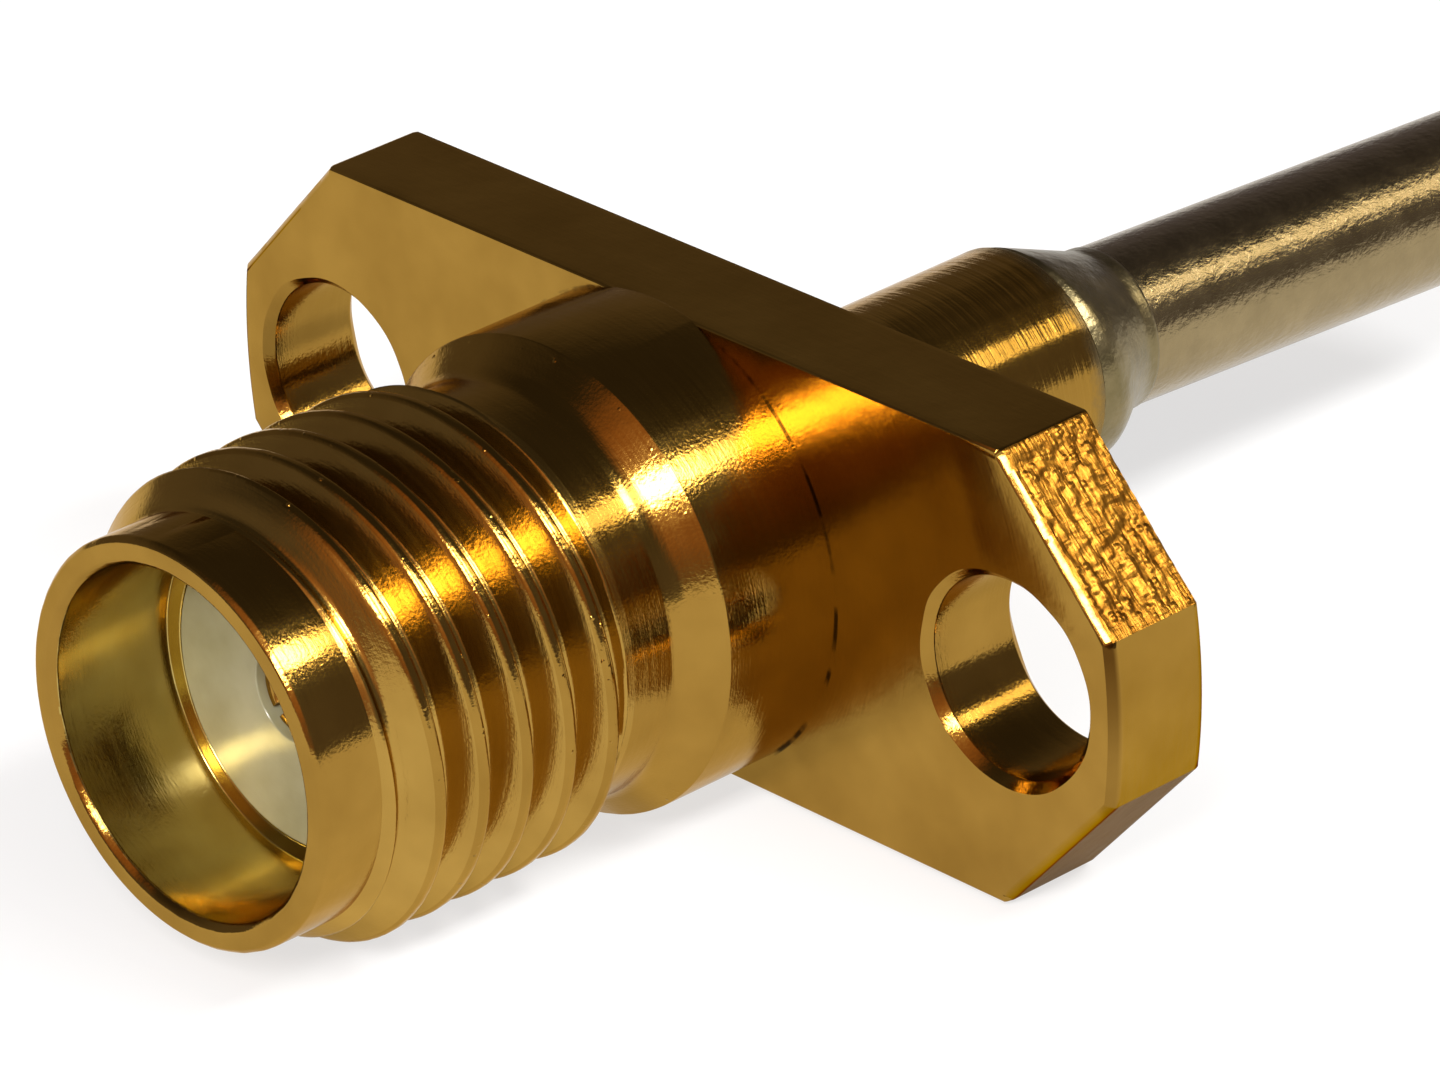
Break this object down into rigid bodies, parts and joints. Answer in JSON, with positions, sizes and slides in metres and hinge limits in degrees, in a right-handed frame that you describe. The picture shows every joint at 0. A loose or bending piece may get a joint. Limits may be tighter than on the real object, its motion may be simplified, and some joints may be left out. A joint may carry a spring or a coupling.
{
  "type": "subminiature coaxial connector",
  "caption": "Threaded coaxial jack with a two-hole panel flange, a slotted centre socket and a soldered stub of semi-rigid cable.",
  "frame": {"origin": "middle of the two-hole pattern on the flange's front face, on the connector's axis", "axes": "-Y out of the mouth, +Y towards the cable, X along the flange's long side, +Z across its width"},
  "size_m": [0.016, 0.0234, 0.0064],
  "materials": {
    "gold_plated_body": "bright gold plating over turned and milled metal",
    "white_insulator": "white, slightly translucent fluoroplastic",
    "gold_plated_contact": "bright gold plating",
    "solder": "dull grey solder",
    "tinned_tube": "dull tinned copper tube",
    "cable_insulation": "white fluoroplastic",
    "silvered_wire": "silver-plated wire"
  },
  "bodies": {
    "root": {"connector_body": "gold_plated_body", "front_insulator": "white_insulator", "centre_contact": "gold_plated_contact", "solder_fillet": "solder", "cable_outer_conductor": "tinned_tube", "cable_dielectric": "cable_insulation", "cable_centre_conductor": "silvered_wire"}
  },
  "joints": []
}
